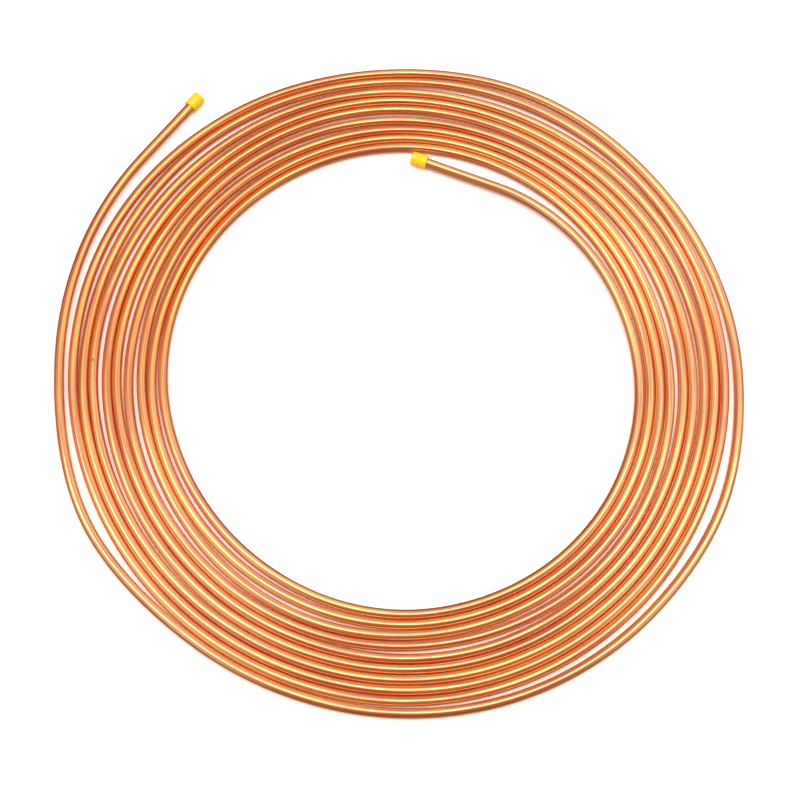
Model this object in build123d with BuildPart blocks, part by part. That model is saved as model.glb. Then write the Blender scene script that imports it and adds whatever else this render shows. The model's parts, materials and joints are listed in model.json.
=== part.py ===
"""Flat coil of soft copper tube with a push-on vinyl cap on each end.

The tube lies on the floor in one layer. Its centre line winds inwards, counter-clockwise seen
from above, from a straight outer end to a straight inner end. Between the two straight ends the
plan is given by the distance from the coil's centre to the tangent of the centre line, as a
function of the direction of its normal. Turns whose distance differs by a constant are exactly
parallel, so close turns stay one pitch apart all the way round.

Millimetres, +Z up. The origin is on the floor, at the centre of the turns.
"""

import os
from math import cos, pi, radians, sin, sqrt

from build123d import *

# Tube
tube_od = 6.35
tube_wall = 0.76
turn_clearance = 0.08

# Plan of the coil. Winding angles grow inwards from the outer end, in degrees from +X.
eye_diameter = 302.6
outer_bend_angle = 141.0
inner_bend_angle = 3600.0 + 69.0
outer_end_run = 56.5
inner_end_run = 59.5
oval_height = 1.6
oval_direction = 122.0

# Where neighbouring turns have sprung apart: outer turn of the pair, direction in which
# the gap starts and ends, and its greatest width
gaps = [
    (1, 180.0, 235.0, 4.8),
    (1, 240.0, 425.0, 3.4),
    (1, 315.0, 360.0, 2.0),
    (1, 395.0, 455.0, 1.8),
    (2, 120.0, 190.0, 2.2),
    (2, 380.0, 470.0, 3.1),
    (3, 85.0, 175.0, 2.8),
    (3, 350.0, 445.0, 1.4),
    (4, 80.0, 255.0, 2.4),
    (4, 325.0, 430.0, 1.3),
    (5, 395.0, 515.0, 1.9),
    (6, 125.0, 205.0, 2.0),
    (6, 245.0, 315.0, 1.6),
    (6, 320.0, 430.0, 2.4),
    (7, 75.0, 165.0, 1.8),
    (7, 140.0, 255.0, 2.3),
    (7, 265.0, 365.0, 1.2),
    (8, 100.0, 190.0, 1.3),
    (8, 205.0, 280.0, 1.6),
    (9, 155.0, 275.0, 1.8),
]

# The last stretch before each straight end leaves its neighbour, and rises so that the
# thicker cap rests on the floor beside the tube.
outer_leave_angle = 245.0
outer_leave_width = 7.0
outer_leave_power = 2.2
inner_leave_angle = 3240.0 + 315.0
inner_leave_width = 8.6
inner_leave_power = 3.5

# Caps
cap_length = 10.5
cap_wall = 1.27
cap_end = 1.5
cap_fit = 0.02
cap_edge_radius = 1.0

# Stations of the centre line, each joined to the next by two tangent arcs
station_angle = 24.0
slope_step = 0.1

tube_radius = tube_od / 2
cap_radius = tube_radius + cap_fit + cap_wall
pitch = tube_od + turn_clearance
turn_count = (inner_bend_angle - outer_bend_angle) / 360.0


def smooth_step(share):
    """Rise from 0 to 1 with level ends, for a share of the way from 0 to 1."""
    share = min(max(share, 0.0), 1.0)
    return share**3 * (share * (6 * share - 15) + 10)


def gap_shift(angle, gap):
    """Outward shift of the centre line at a winding angle that opens one gap.

    The fewer turns there are on one side of the gap, the more of its width they give way by.
    """
    turn, start, end, width = gap
    middle = (start + end) / 2 + 360.0 * (turn - 1)
    half = (end - start) / 2
    turns_inside = round((angle - middle) / 360.0)
    offset = angle - middle - 360.0 * turns_inside
    if abs(offset) >= half:
        return 0.0
    share = 1 - turn / turn_count if turns_inside <= 0 else -turn / turn_count
    return share * width * cos(pi / 2 * offset / half) ** 2


def reach(angle):
    """Distance from the coil's centre to the tangent whose normal points at a winding angle."""
    turns_left = (inner_bend_angle - angle) / 360.0
    distance = eye_diameter / 2 + tube_radius + pitch * turns_left
    distance += oval_height * cos(radians(2 * (angle - oval_direction)))
    distance += sum(gap_shift(angle, gap) for gap in gaps)
    outer_share = (outer_leave_angle - angle) / (outer_leave_angle - outer_bend_angle)
    inner_share = (angle - inner_leave_angle) / (inner_bend_angle - inner_leave_angle)
    distance += outer_leave_width * max(outer_share, 0.0) ** outer_leave_power
    distance -= inner_leave_width * max(inner_share, 0.0) ** inner_leave_power
    return distance


def height(angle):
    """Height of the centre line above the floor at a winding angle."""
    outer_share = (outer_leave_angle - angle) / (outer_leave_angle - outer_bend_angle)
    inner_share = (angle - inner_leave_angle) / (inner_bend_angle - inner_leave_angle)
    lift = smooth_step(outer_share) + smooth_step(inner_share)
    return tube_radius + (cap_radius - tube_radius) * lift


def point(angle):
    """Point of the centre line whose normal, in plan, points at a winding angle."""
    slope = (reach(angle + slope_step) - reach(angle - slope_step)) / radians(2 * slope_step)
    normal = Vector(cos(radians(angle)), sin(radians(angle)))
    along = Vector(-sin(radians(angle)), cos(radians(angle)))
    return normal * reach(angle) + along * slope + Vector(0, 0, height(angle))


def direction(angle):
    """Unit tangent of the centre line at a winding angle, pointing inwards along the tube."""
    return (point(angle + slope_step) - point(angle - slope_step)).normalized()


def biarc_joint(start, start_direction, end, end_direction):
    """Point where two arcs meet that are tangent to both given directions and to each other."""
    chord = end - start
    both = start_direction + end_direction
    turn = 2 * (1 - start_direction.dot(end_direction))
    along = chord.dot(both)
    reach_each = (sqrt(along**2 + turn * chord.dot(chord)) - along) / turn
    return (start + end + (start_direction - end_direction) * reach_each) * 0.5


# Straight ends are level, so their directions are taken in plan
outer_start = point(outer_bend_angle)
outer_direction = Vector(-sin(radians(outer_bend_angle)), cos(radians(outer_bend_angle)))
outer_tip = outer_start - outer_direction * outer_end_run
inner_start = point(inner_bend_angle)
inner_direction = Vector(-sin(radians(inner_bend_angle)), cos(radians(inner_bend_angle)))
inner_tip = inner_start + inner_direction * inner_end_run

station_count = round((inner_bend_angle - outer_bend_angle) / station_angle)
station_step = (inner_bend_angle - outer_bend_angle) / station_count
stations = [(outer_start, outer_direction)]
for index in range(1, station_count):
    angle = outer_bend_angle + station_step * index
    stations.append((point(angle), direction(angle)))
stations.append((inner_start, inner_direction))

with BuildPart() as copper_tube:
    with BuildLine() as centre_line:
        Line(outer_tip, outer_start)
        for (start, start_direction), (end, end_direction) in zip(stations, stations[1:]):
            middle = biarc_joint(start, start_direction, end, end_direction)
            first_arc = TangentArc(start, middle, tangent=start_direction)
            TangentArc(middle, end, tangent=first_arc % 1)
        Line(inner_start, inner_tip)
    with BuildSketch(Plane(origin=outer_tip, z_dir=outer_direction)):
        Circle(tube_radius)
        Circle(tube_radius - tube_wall, mode=Mode.SUBTRACT)
    sweep()


def push_on_cap(tip, outward):
    """Vinyl cup pushed on a tube end until the end meets the inside of its closed end."""
    mouth = Plane(origin=tip - outward * (cap_length - cap_end), z_dir=outward)
    bore_radius = tube_radius + cap_fit
    with BuildPart() as cap:
        with BuildSketch(mouth):
            Circle(cap_radius)
        extrude(amount=cap_length)
        with BuildSketch(mouth):
            Circle(bore_radius)
        extrude(amount=cap_length - cap_end, mode=Mode.SUBTRACT)
        rims = cap.edges().filter_by(GeomType.CIRCLE).sort_by(Axis(tip, outward))
        fillet(rims[-1], cap_edge_radius)
    return cap.part


outer_cap = push_on_cap(outer_tip, outer_direction * -1)
inner_cap = push_on_cap(inner_tip, inner_direction)

os.makedirs("parts", exist_ok=True)
copper_tube.part.label = "copper_tube"
export_step(copper_tube.part, "parts/copper_tube.step")
outer_cap.label = "outer_end_cap"
export_step(outer_cap, "parts/outer_end_cap.step")
inner_cap.label = "inner_end_cap"
export_step(inner_cap, "parts/inner_end_cap.step")

tube_length = centre_line.wire().length
section_area = pi * (tube_radius**2 - (tube_radius - tube_wall) ** 2)
print(f"tube length {tube_length:.0f} mm, volume {copper_tube.part.volume:.0f} mm3,")
print(f"section times length {section_area * tube_length:.0f} mm3")
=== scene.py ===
"""Looks of a flat coil of soft copper tube with a push-on vinyl cap on each end.

The coil lies on a pale floor under a long soft box. Every length is in metres, in the frame of the
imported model: the origin is on the floor at the centre of the turns, and +Z is up.
"""

import json
import logging
from dataclasses import dataclass, field
from enum import Enum
from math import cos, pi, radians, sin
from typing import Any

import bpy
from mathutils import Matrix, Vector

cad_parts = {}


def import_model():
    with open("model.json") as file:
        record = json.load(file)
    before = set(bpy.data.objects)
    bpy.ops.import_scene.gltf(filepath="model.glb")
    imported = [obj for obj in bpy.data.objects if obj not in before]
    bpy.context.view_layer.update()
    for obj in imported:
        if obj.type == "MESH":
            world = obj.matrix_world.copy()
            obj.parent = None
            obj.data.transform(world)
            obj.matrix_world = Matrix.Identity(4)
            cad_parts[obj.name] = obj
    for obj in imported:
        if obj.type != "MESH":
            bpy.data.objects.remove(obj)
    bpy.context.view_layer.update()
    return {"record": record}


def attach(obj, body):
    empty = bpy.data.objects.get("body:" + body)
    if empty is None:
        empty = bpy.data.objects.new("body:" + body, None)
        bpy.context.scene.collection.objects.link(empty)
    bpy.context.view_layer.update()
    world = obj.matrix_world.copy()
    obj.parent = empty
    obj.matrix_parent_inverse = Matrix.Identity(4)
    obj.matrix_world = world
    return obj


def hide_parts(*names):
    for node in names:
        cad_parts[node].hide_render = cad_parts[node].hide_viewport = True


log = logging.getLogger("copper_tube_coil")

MM = 0.001

# Numbers from 0 to 1, rising, each with its sRGB colour
Stops = tuple[tuple[float, str], ...]


class Slot(Enum):
    """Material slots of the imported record."""

    COPPER = "copper"
    VINYL = "vinyl"


def linear(hex_code: str) -> tuple[float, float, float, float]:
    """Turn an sRGB colour into the linear colour that a shader takes.

    Args:
        hex_code: Six hexadecimal digits, red first.

    Returns:
        Linear red, green and blue, and an opacity of 1.
    """
    channels = [int(hex_code[start : start + 2], 16) / 255 for start in (0, 2, 4)]
    straight = [c / 12.92 if c <= 0.04045 else ((c + 0.055) / 1.055) ** 2.4 for c in channels]
    return (*straight, 1.0)


def add_node(
    tree: bpy.types.NodeTree,
    kind: str,
    links: dict[str | int, Any] | None = None,
    **settings: Any,
) -> bpy.types.Node:
    """Add a node, set it and link it.

    Args:
        tree: Node tree that the node joins.
        kind: Blender's name of the node type, without its ShaderNode prefix.
        links: Socket name or number of the new node, and the output or the value that goes in.
        settings: Properties of the node.

    Returns:
        The new node.
    """
    node = tree.nodes.new("ShaderNode" + kind)
    for name, value in settings.items():
        setattr(node, name, value)
    for socket, source in (links or {}).items():
        if isinstance(source, bpy.types.NodeSocket):
            tree.links.new(source, node.inputs[socket])
        else:
            node.inputs[socket].default_value = source
    return node


def colour_ramp(
    tree: bpy.types.NodeTree, share: bpy.types.NodeSocket, stops: Stops
) -> bpy.types.NodeSocket:
    """Turn a number into a colour.

    Args:
        tree: Node tree that the ramp joins.
        share: Number from 0 to 1.
        stops: Two or more numbers, rising, each with its sRGB colour.

    Returns:
        The colour.
    """
    ramp = add_node(tree, "ValToRGB", {"Fac": share})
    elements = ramp.color_ramp.elements
    for element, (place, colour) in zip(elements, (stops[0], stops[-1])):
        element.position = place
        element.color = linear(colour)
    for place, colour in stops[1:-1]:
        elements.new(place).color = linear(colour)
    return ramp.outputs["Color"]


def empty_material(name: str) -> tuple[bpy.types.Material, bpy.types.NodeTree]:
    """Make a material with an empty node tree."""
    material = bpy.data.materials.new(name)
    material.use_nodes = True
    material.node_tree.nodes.clear()
    return material, material.node_tree


def smooth_step(share: float) -> float:
    """Rise from 0 to 1 with level ends, for a share of the way from 0 to 1."""
    share = min(max(share, 0.0), 1.0)
    return share**3 * (share * (6 * share - 15) + 10)


@dataclass(frozen=True)
class Gap:
    """A stretch where two neighbouring turns have sprung apart.

    Attributes:
        turn: Outer turn of the pair, counted from the outer end.
        start: Direction in which the gap starts, in degrees.
        end: Direction in which it ends, in degrees.
        width: Greatest width.
    """

    turn: int
    start: float
    end: float
    width: float

    def shift(self, angle: float, turn_count: float) -> float:
        """Give the outward shift of the centre line that opens the gap.

        Args:
            angle: Winding angle in degrees.
            turn_count: Number of turns in the coil.

        Returns:
            The shift, less than 0 on the turns inside the gap.
        """
        middle = (self.start + self.end) / 2 + 360.0 * (self.turn - 1)
        half = (self.end - self.start) / 2
        turns_inside = round((angle - middle) / 360.0)
        offset = angle - middle - 360.0 * turns_inside
        if abs(offset) >= half:
            return 0.0
        share = 1 - self.turn / turn_count if turns_inside <= 0 else -self.turn / turn_count
        return share * self.width * cos(pi / 2 * offset / half) ** 2


@dataclass
class CoilPlan:
    """Centre line of the tube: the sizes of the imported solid, and its shape as a formula.

    Winding angles grow inwards from the outer end, in degrees from +X. The plan is given by the
    distance from the coil's centre to the tangent, as a function of the normal's direction.
    """

    tube_od: float = 6.35 * MM
    turn_clearance: float = 0.08 * MM
    cap_radius: float = 4.465 * MM
    eye_diameter: float = 302.6 * MM
    outer_bend_angle: float = 141.0
    inner_bend_angle: float = 3600.0 + 69.0
    outer_end_run: float = 56.5 * MM
    inner_end_run: float = 59.5 * MM
    oval_height: float = 1.6 * MM
    oval_direction: float = 122.0
    outer_leave_angle: float = 245.0
    outer_leave_width: float = 7.0 * MM
    outer_leave_power: float = 2.2
    inner_leave_angle: float = 3240.0 + 315.0
    inner_leave_width: float = 8.6 * MM
    inner_leave_power: float = 3.5
    slope_step: float = 0.1
    gaps: list[Gap] = field(
        default_factory=lambda: [
            Gap(1, 180.0, 235.0, 4.8 * MM),
            Gap(1, 240.0, 425.0, 3.4 * MM),
            Gap(1, 315.0, 360.0, 2.0 * MM),
            Gap(1, 395.0, 455.0, 1.8 * MM),
            Gap(2, 120.0, 190.0, 2.2 * MM),
            Gap(2, 380.0, 470.0, 3.1 * MM),
            Gap(3, 85.0, 175.0, 2.8 * MM),
            Gap(3, 350.0, 445.0, 1.4 * MM),
            Gap(4, 80.0, 255.0, 2.4 * MM),
            Gap(4, 325.0, 430.0, 1.3 * MM),
            Gap(5, 395.0, 515.0, 1.9 * MM),
            Gap(6, 125.0, 205.0, 2.0 * MM),
            Gap(6, 245.0, 315.0, 1.6 * MM),
            Gap(6, 320.0, 430.0, 2.4 * MM),
            Gap(7, 75.0, 165.0, 1.8 * MM),
            Gap(7, 140.0, 255.0, 2.3 * MM),
            Gap(7, 265.0, 365.0, 1.2 * MM),
            Gap(8, 100.0, 190.0, 1.3 * MM),
            Gap(8, 205.0, 280.0, 1.6 * MM),
            Gap(9, 155.0, 275.0, 1.8 * MM),
        ]
    )

    @property
    def turn_count(self) -> float:
        """Number of turns between the two straight ends."""
        return (self.inner_bend_angle - self.outer_bend_angle) / 360.0

    def leave_shares(self, angle: float) -> tuple[float, float]:
        """Give how far along the last stretch before each straight end a winding angle lies.

        Args:
            angle: Winding angle in degrees.

        Returns:
            The shares at the outer and the inner end, 0 before the stretch and 1 at its end.
        """
        outer = (self.outer_leave_angle - angle) / (self.outer_leave_angle - self.outer_bend_angle)
        inner = (angle - self.inner_leave_angle) / (self.inner_bend_angle - self.inner_leave_angle)
        return max(outer, 0.0), max(inner, 0.0)

    def reach(self, angle: float) -> float:
        """Distance from the coil's centre to the tangent whose normal points at an angle."""
        turns_left = (self.inner_bend_angle - angle) / 360.0
        distance = (self.eye_diameter + self.tube_od) / 2
        distance += (self.tube_od + self.turn_clearance) * turns_left
        distance += self.oval_height * cos(radians(2 * (angle - self.oval_direction)))
        distance += sum(gap.shift(angle, self.turn_count) for gap in self.gaps)
        outer_share, inner_share = self.leave_shares(angle)
        distance += self.outer_leave_width * outer_share**self.outer_leave_power
        distance -= self.inner_leave_width * inner_share**self.inner_leave_power
        return distance

    def height(self, angle: float) -> float:
        """Height of the centre line above the floor at a winding angle."""
        lift = sum(smooth_step(share) for share in self.leave_shares(angle))
        return self.tube_od / 2 + (self.cap_radius - self.tube_od / 2) * lift

    def point(self, angle: float) -> Vector:
        """Point of the centre line whose normal, in plan, points at a winding angle."""
        rise = self.reach(angle + self.slope_step) - self.reach(angle - self.slope_step)
        slope = rise / radians(2 * self.slope_step)
        normal = Vector((cos(radians(angle)), sin(radians(angle)), 0.0))
        along = Vector((-normal.y, normal.x, 0.0))
        return normal * self.reach(angle) + along * slope + Vector((0, 0, self.height(angle)))

    def path(self, angle_step: float) -> list[Vector]:
        """Give the centre line from the outer tip to the inner tip.

        Args:
            angle_step: Greatest winding angle from one point to the next, in degrees.

        Returns:
            The points, about as far apart on the straight ends as on the turns.
        """
        count = round((self.inner_bend_angle - self.outer_bend_angle) / angle_step)
        step = (self.inner_bend_angle - self.outer_bend_angle) / count
        turns = [self.point(self.outer_bend_angle + step * index) for index in range(count + 1)]
        spacing = (turns[1] - turns[0]).length
        outer = self.straight(turns[0], self.outer_bend_angle, -self.outer_end_run, spacing)
        inner = self.straight(turns[-1], self.inner_bend_angle, self.inner_end_run, spacing)
        return outer[::-1] + turns + inner

    def straight(self, start: Vector, angle: float, run: float, spacing: float) -> list[Vector]:
        """Give the points of a straight end, without its start.

        Args:
            start: Point where the turns end.
            angle: Winding angle there, in degrees.
            run: Length of the straight end, less than 0 against the winding.
            spacing: Distance from one point to the next.

        Returns:
            The points from the one next to the start to the tip.
        """
        along = Vector((-sin(radians(angle)), cos(radians(angle)), 0.0))
        count = round(abs(run) / spacing)
        return [start + along * (run * index / count) for index in range(1, count + 1)]


@dataclass(frozen=True)
class Spot:
    """A round spot with a soft edge.

    Attributes:
        middle: Its middle.
        radius: Distance from its middle to where it has faded out.
    """

    middle: tuple[float, float, float]
    radius: float

    def cover(self, tree: bpy.types.NodeTree, place: bpy.types.NodeSocket) -> bpy.types.NodeSocket:
        """Give how much of the spot each point has.

        Args:
            tree: Node tree of the material.
            place: Place of the point, measured as the spot's middle is.

        Returns:
            1 in the middle of the spot and 0 outside it.
        """
        away = add_node(tree, "VectorMath", {0: place, 1: self.middle}, operation="DISTANCE")
        near = add_node(
            tree,
            "MapRange",
            {"Value": away.outputs["Value"], "From Min": self.radius, "From Max": 0.0},
            interpolation_type="SMOOTHSTEP",
        )
        return near.outputs[0]


@dataclass(frozen=True)
class DrawnCopper:
    """Bright copper drawn through a die and annealed.

    The die leaves fine lines along the tube, which stretch the highlights lengthwise. They are
    drawn coarser than real ones, which are too fine to see. Handling has left the bright skin a
    little duller and pinker in long patches, and the colour is made a shade deeper over the far
    left of the coil. A knock has left one small dent, whose middle has painted shade in its colour.

    Attributes:
        tints: Colours from the most worn skin to the brightest.
        roughness: Least and greatest roughness.
        streak_size: Width and length of the die's lines.
        streak_depth: Height of the lines.
        streak_range: Least and greatest strength of the lines, for the roughness.
        streak_share: Share of the lines in the wear; the patches have the rest.
        patch_size: Width and length of the patches.
        far_left_tint: Colour that multiplies the skin's own over the far left of the coil.
        far_left_spot: Place of that deeper colour, in the coil's frame.
        dent: Place of the dent on the tube while that was straight: to the right, up, and from
            the outer end.
        dent_depth: Depth of the dent.
        dent_painted_shade: Painted shade: a darker brown in the middle of the dent.
    """

    tints: Stops = ((0.42, "E49A78"), (0.5, "F5B684"), (0.58, "F9C682"))
    roughness: tuple[float, float] = (0.1, 0.22)
    streak_size: tuple[float, float] = (1.1 * MM, 70 * MM)
    streak_depth: float = 0.045 * MM
    streak_range: tuple[float, float] = (0.3, 0.7)
    streak_share: float = 0.55
    patch_size: tuple[float, float] = (4 * MM, 90 * MM)
    # A deeper colour over the far left of the coil, multiplied into the skin's own.
    far_left_tint: str = "F6E1C8"
    far_left_spot: Spot = Spot(middle=(-150 * MM, 90 * MM, 0.0), radius=240 * MM)
    dent: Spot = Spot(middle=(0.1 * MM, 3.1 * MM, 4154.5 * MM), radius=2.1 * MM)
    dent_depth: float = 0.05 * MM
    # Painted shade: the dent's middle is coloured darker brown for the shade on its slope.
    dent_painted_shade: str = "BE8458"

    def build(self) -> bpy.types.Material:
        """Make the material."""
        material, tree = empty_material("drawn_copper")
        attribute = add_node(
            tree, "Attribute", attribute_name=CopperTube.STRAIGHT, attribute_type="GEOMETRY"
        )
        straight = attribute.outputs["Vector"]
        streaks = self.noise_along(tree, straight, self.streak_size, detail=2.0, roughness=0.6)
        patches = self.noise_along(tree, straight, self.patch_size, detail=3.0, roughness=0.55)
        sunk = self.dent.cover(tree, straight)
        rough = add_node(
            tree,
            "MapRange",
            {
                "Value": streaks,
                "From Min": self.streak_range[0],
                "From Max": self.streak_range[1],
                "To Min": self.roughness[0],
                "To Max": self.roughness[1],
            },
        )
        lined = add_node(
            tree, "Bump", {"Height": streaks, "Strength": 1.0, "Distance": self.streak_depth}
        )
        dented = add_node(
            tree,
            "Bump",
            {
                "Height": sunk,
                "Strength": 1.0,
                "Distance": self.dent_depth,
                "Normal": lined.outputs[0],
            },
            invert=True,
        )
        shader = add_node(
            tree,
            "BsdfPrincipled",
            {
                "Base Color": self.skin_colour(tree, streaks, patches, sunk),
                "Metallic": 1.0,
                "Roughness": rough.outputs[0],
                "Normal": dented.outputs[0],
            },
        )
        add_node(tree, "OutputMaterial", {"Surface": shader.outputs[0]})
        return material

    def noise_along(
        self,
        tree: bpy.types.NodeTree,
        straight: bpy.types.NodeSocket,
        size: tuple[float, float],
        detail: float,
        roughness: float,
    ) -> bpy.types.NodeSocket:
        """Add noise that is stretched along the tube.

        Args:
            tree: Node tree of the material.
            straight: Place on the tube while it was straight.
            size: Size of the noise's blots across the tube and along it.
            detail: Number of finer layers.
            roughness: Strength of each finer layer.

        Returns:
            Noise from 0 to 1.
        """
        across, along = size
        scaled = add_node(
            tree, "Mapping", {"Vector": straight, "Scale": (1 / across, 1 / across, 1 / along)}
        )
        noise = add_node(
            tree,
            "TexNoise",
            {
                "Vector": scaled.outputs[0],
                "Scale": 1.0,
                "Detail": detail,
                "Roughness": roughness,
            },
        )
        return noise.outputs["Fac"]

    def skin_colour(
        self,
        tree: bpy.types.NodeTree,
        streaks: bpy.types.NodeSocket,
        patches: bpy.types.NodeSocket,
        sunk: bpy.types.NodeSocket,
    ) -> bpy.types.NodeSocket:
        """Colour the skin by its wear, deepen it on the far left and paint shade into the dent.

        Args:
            tree: Node tree of the material.
            streaks: Fine lines along the tube, from 0 to 1.
            patches: Long patches, from 0 to 1.
            sunk: 1 in the middle of the dent and 0 outside it.

        Returns:
            The colour.
        """
        wear = add_node(
            tree,
            "Mix",
            {"Factor": self.streak_share, "A": patches, "B": streaks},
            data_type="FLOAT",
        )
        place = add_node(tree, "TexCoord")
        # Multiply the colour a shade deeper over the far left of the coil.
        far_left_deepened = add_node(
            tree,
            "Mix",
            {
                "Factor": self.far_left_spot.cover(tree, place.outputs["Object"]),
                "A": colour_ramp(tree, wear.outputs[0], self.tints),
                "B": linear(self.far_left_tint),
            },
            data_type="RGBA",
            blend_type="MULTIPLY",
        )
        # Painted shade: mix the dent's middle towards a darker brown.
        skin = add_node(
            tree,
            "Mix",
            {"Factor": sunk, "A": far_left_deepened.outputs[2], "B": linear(self.dent_painted_shade)},
            data_type="RGBA",
        )
        return skin.outputs[2]


@dataclass(frozen=True)
class DippedVinyl:
    """Soft PVC that a hot mandrel was dipped in: smooth, glossy and a little translucent.

    Attributes:
        tints: Colours from the thinner skin to the thicker.
        roughness: Roughness.
        ior: Refractive index.
        translucency: Share of the light that goes in and comes out again.
        light_reach: How far red, green and blue light get under the skin, in millimetres.
        ripple_size: Size of the skin's faint ripples.
        ripple_depth: Height of the ripples.
    """

    tints: Stops = ((0.35, "DCB200"), (0.6, "E6C410"))
    roughness: float = 0.38
    ior: float = 1.53
    translucency: float = 0.15
    light_reach: tuple[float, float, float] = (1.0, 0.7, 0.1)
    ripple_size: float = 1.6 * MM
    ripple_depth: float = 0.03 * MM

    def build(self) -> bpy.types.Material:
        """Make the material."""
        material, tree = empty_material("dipped_vinyl")
        place = add_node(tree, "TexCoord")
        ripples = add_node(
            tree,
            "TexNoise",
            {"Vector": place.outputs["Object"], "Scale": 1 / self.ripple_size, "Detail": 2.0},
        )
        bump = add_node(
            tree,
            "Bump",
            {"Height": ripples.outputs["Fac"], "Strength": 1.0, "Distance": self.ripple_depth},
        )
        shader = add_node(
            tree,
            "BsdfPrincipled",
            {
                "Base Color": colour_ramp(tree, ripples.outputs["Fac"], self.tints),
                "Roughness": self.roughness,
                "IOR": self.ior,
                "Subsurface Weight": self.translucency,
                "Subsurface Radius": self.light_reach,
                "Subsurface Scale": 1.0 * MM,
                "Normal": bump.outputs[0],
            },
        )
        add_node(tree, "OutputMaterial", {"Surface": shader.outputs[0]})
        return material


@dataclass(frozen=True)
class StudioPaper:
    """Matt white paper, lit until it is nearly pure white.

    It gives off a faint pink light and its white is tinted warm. Both are a painted bounce of
    light off the copper, so that the floor between close turns stays warm and pale.
    """

    # Painted bounce light: the warm tint and the faint pink emission stand in for light off the
    # copper.
    colour: str = "FFEDE6"
    roughness: float = 0.9
    painted_bounce_colour: str = "FFB8A0"
    painted_bounce_strength: float = 0.06

    def build(self) -> bpy.types.Material:
        """Make the material."""
        material, tree = empty_material("studio_paper")
        shader = add_node(
            tree,
            "BsdfPrincipled",
            {
                "Base Color": linear(self.colour),
                "Roughness": self.roughness,
                "Emission Color": linear(self.painted_bounce_colour),
                "Emission Strength": self.painted_bounce_strength,
            },
        )
        add_node(tree, "OutputMaterial", {"Surface": shader.outputs[0]})
        return material


def deselect_all() -> None:
    """Leave nothing selected, so that an operator touches only what is chosen next."""
    if bpy.context.object and bpy.context.object.mode != "OBJECT":
        bpy.ops.object.mode_set(mode="OBJECT")
    bpy.ops.object.select_all(action="DESELECT")


def choose(piece: bpy.types.Object) -> None:
    """Select one object alone and make it active."""
    deselect_all()
    piece.select_set(True)
    bpy.context.view_layer.objects.active = piece


def dress(piece: bpy.types.Object, finish: bpy.types.Material, smooth_angle: float) -> None:
    """Shade a piece smooth and give it its one material.

    Args:
        piece: The piece.
        finish: Its material.
        smooth_angle: Angle in degrees past which an edge stays sharp.
    """
    choose(piece)
    bpy.ops.object.shade_smooth_by_angle(angle=radians(smooth_angle))
    piece.data.materials.clear()
    piece.data.materials.append(finish)


def triangle_count(piece: bpy.types.Object) -> int:
    """Count the triangles that a piece's faces make."""
    return sum(len(face.vertices) - 2 for face in piece.data.polygons)


@dataclass
class CopperTube:
    """The tube, swept along the coil's centre line and given its wall.

    Attributes:
        plan: The centre line and the tube's outside diameter.
        finish: Finish.
        wall: Thickness of the wall.
        angle_step: Winding angle from one ring of vertices to the next, in degrees.
        sides: Number of sides around.
        smooth_angle: Angle in degrees past which an edge stays sharp.
    """

    plan: CoilPlan
    finish: DrawnCopper = field(default_factory=DrawnCopper)
    wall: float = 0.76 * MM
    angle_step: float = 2.0
    sides: int = 24
    smooth_angle: float = 40.0

    STRAIGHT = "straight_tube"

    def build(self) -> bpy.types.Object:
        """Sweep the tube, thicken it and dress it.

        Returns:
            The finished tube.
        """
        points = self.plan.path(self.angle_step)
        bpy.ops.curve.primitive_bezier_curve_add()
        tube = bpy.context.object
        tube.name = "coiled_copper_tube"
        curve = tube.data
        curve.splines.clear()
        line = curve.splines.new("POLY")
        line.points.add(len(points) - 1)
        for place, point in zip(line.points, points):
            place.co = (*point, 1.0)
        curve.dimensions = "3D"
        curve.twist_mode = "Z_UP"
        curve.bevel_depth = self.plan.tube_od / 2
        # A bevel has 4 sides, and 2 more for each step of its resolution
        curve.bevel_resolution = (self.sides - 4) // 2
        choose(tube)
        bpy.ops.object.convert(target="MESH")
        self.mark_straight_place(tube.data, points)
        wall = tube.modifiers.new("wall", "SOLIDIFY")
        wall.thickness = self.wall
        wall.offset = -1.0
        bpy.ops.object.modifier_apply(modifier=wall.name)
        dress(tube, self.finish.build(), self.smooth_angle)
        return tube

    def mark_straight_place(self, mesh: bpy.types.Mesh, points: list[Vector]) -> None:
        """Note on each vertex where it lay on the tube while that was still straight.

        Args:
            mesh: Skin of the tube, one ring of vertices after another.
            points: Centre of each ring.
        """
        place = mesh.attributes.new(self.STRAIGHT, "FLOAT_VECTOR", "POINT")
        around = len(mesh.vertices) // len(points)
        run = 0.0
        for ring, centre in enumerate(points):
            ahead = points[min(ring + 1, len(points) - 1)] - points[max(ring - 1, 0)]
            side = Vector((ahead.y, -ahead.x, 0.0)).normalized()
            if ring:
                run += (centre - points[ring - 1]).length
            for index in range(ring * around, (ring + 1) * around):
                out = mesh.vertices[index].co - centre
                place.data[index].vector = (out.dot(side), out.z, run)


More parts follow.
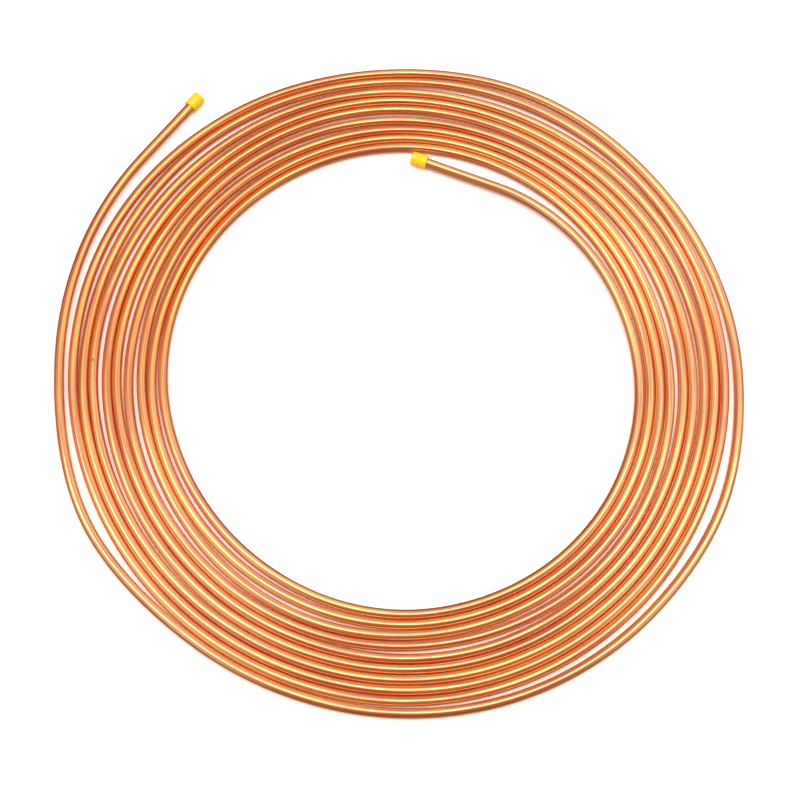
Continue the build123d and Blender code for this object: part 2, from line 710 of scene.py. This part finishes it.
@dataclass
class VinylCap:
    """A dip-moulded cup, pushed on the tube until the tube's end meets its closed end.

    Attributes:
        name: Name of the piece.
        tip: Middle of the tube's end.
        outward: Direction in which the tube's end faces.
        finish: Material.
        radius: Outer radius.
        length: Length over all.
        bore_radius: Radius of the hollow.
        end_wall: Thickness of the closed end.
        end_round: Rounding of the closed end's edge, and its number of steps.
        rim_round: Rounding of the open end's edge, and its number of steps.
        sides: Number of sides around.
        smooth_angle: Angle in degrees past which an edge stays sharp.
        slack: Distance within which two places count as level.
    """

    name: str
    tip: Vector
    outward: Vector
    finish: bpy.types.Material
    radius: float
    length: float = 10.5 * MM
    bore_radius: float = 3.195 * MM
    end_wall: float = 1.5 * MM
    end_round: tuple[float, int] = (1.0 * MM, 5)
    rim_round: tuple[float, int] = (0.2 * MM, 2)
    sides: int = 48
    smooth_angle: float = 50.0
    slack: float = 0.001 * MM

    def build(self) -> bpy.types.Object:
        """Shape the cup, push it on and dress it.

        Returns:
            The finished cap.
        """
        deselect_all()
        bpy.ops.mesh.primitive_cylinder_add(
            vertices=self.sides, radius=self.radius, depth=self.length, location=(0, 0, 0)
        )
        cap = bpy.context.object
        cap.name = self.name
        self.sink_bore(cap)
        self.round_edges(cap)
        middle = self.tip + self.outward * (self.end_wall - self.length / 2)
        turn = self.outward.to_track_quat("Z", "Y").to_matrix().to_4x4()
        cap.data.transform(Matrix.Translation(middle) @ turn)
        dress(cap, self.finish, self.smooth_angle)
        return cap

    def clear_selection(self, kind: str) -> None:
        """Leave no face or edge of the active mesh selected.

        Args:
            kind: What is selected next, FACE or EDGE.
        """
        bpy.ops.object.mode_set(mode="EDIT")
        bpy.ops.mesh.select_mode(type=kind)
        bpy.ops.mesh.select_all(action="DESELECT")
        bpy.ops.object.mode_set(mode="OBJECT")

    def sink_bore(self, cap: bpy.types.Object) -> None:
        """Sink the bore into the open end, which faces -Z."""
        self.clear_selection("FACE")
        for face in cap.data.polygons:
            face.select = all(
                self.is_at(cap.data.vertices[index].co, -self.length / 2) for index in face.vertices
            )
        bpy.ops.object.mode_set(mode="EDIT")
        bpy.ops.mesh.inset(thickness=self.radius - self.bore_radius, depth=0)
        bpy.ops.mesh.extrude_region_move(
            TRANSFORM_OT_translate={"value": (0, 0, self.length - self.end_wall)}
        )
        bpy.ops.object.mode_set(mode="OBJECT")

    def is_at(self, place: Vector, height: float) -> bool:
        """Tell whether a place lies at a height of the upright cap."""
        return abs(place.z - height) < self.slack

    def round_edges(self, cap: bpy.types.Object) -> None:
        """Round the closed end well and the rim of the mouth a little."""
        for height, (width, steps) in (
            (self.length / 2, self.end_round),
            (-self.length / 2, self.rim_round),
        ):
            self.clear_selection("EDGE")
            for edge in cap.data.edges:
                ends = [cap.data.vertices[index].co for index in edge.vertices]
                level = all(self.is_at(end, height) for end in ends)
                around = abs(ends[0].xy.length - ends[1].xy.length) < self.slack
                edge.select = level and around
            bpy.ops.object.mode_set(mode="EDIT")
            bpy.ops.mesh.bevel(offset=width, segments=steps, profile=0.5)
            bpy.ops.object.mode_set(mode="OBJECT")


@dataclass(frozen=True)
class DarkCloth:
    """A cloth hung in the tent, which bright metal mirrors as a darker band with soft edges.

    Attributes:
        direction: Compass direction in degrees from +X.
        elevation: Angle above the floor, in degrees.
        radius: Angle from its middle to halfway through its soft edge, in degrees.
        edge: Width of the soft edge, in degrees.
        colour: Colour that is left of white behind it.
    """

    direction: float
    elevation: float
    radius: float
    edge: float
    colour: str

    def shade(
        self, tree: bpy.types.NodeTree, ray: bpy.types.NodeSocket, tent: bpy.types.NodeSocket
    ) -> bpy.types.NodeSocket:
        """Darken the tent behind the cloth.

        Args:
            tree: Node tree of the surroundings.
            ray: Direction that the light comes from.
            tent: Colour of the tent in that direction.

        Returns:
            The colour that is left.
        """
        flat = cos(radians(self.elevation))
        middle = (
            flat * cos(radians(self.direction)),
            flat * sin(radians(self.direction)),
            sin(radians(self.elevation)),
        )
        nearness = add_node(tree, "VectorMath", {0: ray, 1: middle}, operation="DOT_PRODUCT")
        cover = add_node(
            tree,
            "MapRange",
            {
                "Value": nearness.outputs["Value"],
                "From Min": cos(radians(self.radius + self.edge / 2)),
                "From Max": cos(radians(self.radius - self.edge / 2)),
            },
            interpolation_type="SMOOTHSTEP",
        )
        left = add_node(
            tree,
            "Mix",
            {"Factor": cover.outputs[0], "A": tent, "B": linear(self.colour)},
            data_type="RGBA",
            blend_type="MULTIPLY",
        )
        return left.outputs[2]


@dataclass(frozen=True)
class SoftBox:
    """A rectangular soft box that faces the coil from above.

    Attributes:
        name: Name of the light.
        size: Width and depth.
        distance: Distance from the coil.
        watts: Power.
        behind: Angle behind the vertical, in degrees.
        colour: Colour of its light.
        mirrored: Whether bright metal mirrors it.
    """

    name: str
    size: tuple[float, float]
    distance: float
    watts: float
    behind: float = 4.0
    colour: str = "FFFFFF"
    mirrored: bool = True

    def hang(self) -> None:
        """Hang the soft box."""
        lamp = bpy.data.lights.new(self.name, "AREA")
        lamp.shape = "RECTANGLE"
        lamp.size, lamp.size_y = self.size
        lamp.energy = self.watts
        lamp.color = linear(self.colour)[:3]
        box = bpy.data.objects.new(self.name, lamp)
        up = Vector((0.0, sin(radians(self.behind)), cos(radians(self.behind))))
        box.location = up * self.distance
        box.rotation_euler = up.to_track_quat("Z", "Y").to_euler()
        box.visible_glossy = self.mirrored
        bpy.context.collection.objects.link(box)


@dataclass
class Studio:
    """Camera, floor and lights.

    Attributes:
        elevation: Height of the camera above the floor, as an angle in degrees.
        focal_pixels: Focal length in pixels, and the camera's distance in pixels of the coil.
        frame_pixels: Width and height of the picture in pixels.
        pixel_size: Size of a pixel at the coil.
        centre_pixel: Where the coil's centre shows, from the top left of the picture.
        aim_height: Height above the floor of the point that the camera faces.
        sensor: Width of the camera's sensor, in millimetres.
        floor_size: Width and depth of the floor.
        tent_gain: Brightness of the tent where its colour is white.
        colours_by_depth: Colours of the tent from the viewer's side at 0 to the far side at 1.
        colours_by_height: Colours of the tent from straight down at 0 to straight up at 1.
        cloths: Cloths that hang in the tent.
        boxes: Lights.
    """

    elevation: float = 72.0
    focal_pixels: float = 1742.0
    frame_pixels: float = 800.0
    pixel_size: float = 0.645 * MM
    centre_pixel: tuple[float, float] = (402.0, 372.9)
    aim_height: float = 3.2 * MM
    sensor: float = 36.0
    floor_size: float = 40.0
    tent_gain: float = 1.08
    colours_by_depth: Stops = (
        (0.0, "DADADA"),
        (0.4, "E7E7E7"),
        (0.6, "FFFFFF"),
        (0.8, "F9F9F9"),
        (1.0, "CBCBCB"),
    )
    colours_by_height: Stops = (
        (0.0, "C8A298"),
        (0.46, "C8A298"),
        (0.5, "8A7066"),
        (0.56, "C4AEA4"),
        (0.65, "FFFFFF"),
        (1.0, "FFFFFF"),
    )
    cloths: tuple[DarkCloth, ...] = (
        DarkCloth(direction=275.0, elevation=34.0, radius=36.0, edge=26.0, colour="CC9470"),
        DarkCloth(direction=135.0, elevation=15.0, radius=36.0, edge=40.0, colour="CFA890"),
    )
    boxes: tuple[SoftBox, ...] = (
        SoftBox("long_soft_box", size=(8.0, 1.2), distance=4.5, watts=74.0, colour="FFF8EC"),
        SoftBox("paper_fill", size=(4.0, 4.0), distance=4.0, watts=150.0, mirrored=False),
    )

    def place_camera(self) -> None:
        """Put the camera where the photograph was taken from."""
        lens = bpy.data.cameras.new("camera")
        lens.sensor_width = self.sensor
        lens.lens = self.sensor * self.focal_pixels / self.frame_pixels
        middle = self.frame_pixels / 2
        lens.shift_x = (middle - self.centre_pixel[0]) / self.frame_pixels
        lens.shift_y = (self.centre_pixel[1] - middle) / self.frame_pixels
        lens.clip_start = 0.01
        camera = bpy.data.objects.new("camera", lens)
        tilt = radians(self.elevation)
        distance = self.focal_pixels * self.pixel_size
        camera.location = (0, -distance * cos(tilt), distance * sin(tilt) + self.aim_height)
        camera.rotation_euler = (pi / 2 - tilt, 0, 0)
        bpy.context.collection.objects.link(camera)
        bpy.context.scene.camera = camera

    def lay_floor(self) -> None:
        """Lay the pale floor."""
        deselect_all()
        bpy.ops.mesh.primitive_plane_add(size=self.floor_size, location=(0, 0, 0))
        floor = bpy.context.object
        floor.name = "floor"
        floor.data.materials.append(StudioPaper().build())
        floor.visible_glossy = False

    def colour_along(
        self,
        tree: bpy.types.NodeTree,
        part: bpy.types.NodeSocket,
        colours: Stops,
    ) -> bpy.types.NodeSocket:
        """Colour the tent along one axis.

        Args:
            tree: Node tree of the surroundings.
            part: The direction's part along the axis, from -1 to 1.
            colours: Places from 0 to 1 along the axis, each with its colour.

        Returns:
            The colour of the tent.
        """
        share = add_node(tree, "MapRange", {"Value": part, "From Min": -1.0, "From Max": 1.0})
        return colour_ramp(tree, share.outputs[0], colours)

    def tone_surroundings(self) -> None:
        """Surround the coil with a white tent that is darker near the floor."""
        world = bpy.data.worlds.new("studio")
        world.use_nodes = True
        tree = world.node_tree
        tree.nodes.clear()
        place = add_node(tree, "TexCoord")
        ray = add_node(tree, "SeparateXYZ", {"Vector": place.outputs["Generated"]})
        by_depth = self.colour_along(tree, ray.outputs["Y"], self.colours_by_depth)
        by_height = self.colour_along(tree, ray.outputs["Z"], self.colours_by_height)
        wall = add_node(
            tree,
            "Mix",
            {"Factor": 1.0, "A": by_depth, "B": by_height},
            data_type="RGBA",
            blend_type="MULTIPLY",
        )
        colour = wall.outputs[2]
        for cloth in self.cloths:
            colour = cloth.shade(tree, place.outputs["Generated"], colour)
        shine = add_node(tree, "Background", {"Color": colour, "Strength": self.tent_gain})
        add_node(tree, "OutputWorld", {"Surface": shine.outputs[0]})
        bpy.context.scene.world = world

    def light(self) -> None:
        """Hang the lights and tone the surroundings."""
        for box in self.boxes:
            box.hang()
        self.tone_surroundings()
        scene = bpy.context.scene
        scene.view_settings.view_transform = "Standard"
        scene.cycles.use_denoising = True


def main() -> None:
    """Build the coil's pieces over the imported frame, then the studio."""
    logging.basicConfig(level=logging.INFO, format="%(message)s")
    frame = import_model()
    mounts = {mount["name"]: mount for mount in frame["record"]["mounts"]}

    studio = Studio()
    studio.place_camera()

    plan = CoilPlan()
    tube = CopperTube(plan).build()
    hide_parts("copper_tube")
    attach(tube, "root")
    log.info("%s: %d triangles", tube.name, triangle_count(tube))

    vinyl = DippedVinyl().build()
    for end in ("outer", "inner"):
        mount = mounts[f"{end}_tube_end"]
        tip, outward = Vector(mount["pos_m"]), Vector(mount["axis"])
        cap = VinylCap(f"{end}_vinyl_cap", tip, outward, vinyl, plan.cap_radius).build()
        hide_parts(f"{end}_end_cap")
        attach(cap, "root")
        log.info("%s: %d triangles", cap.name, triangle_count(cap))

    studio.lay_floor()
    studio.light()


if __name__ == "__main__":
    main()
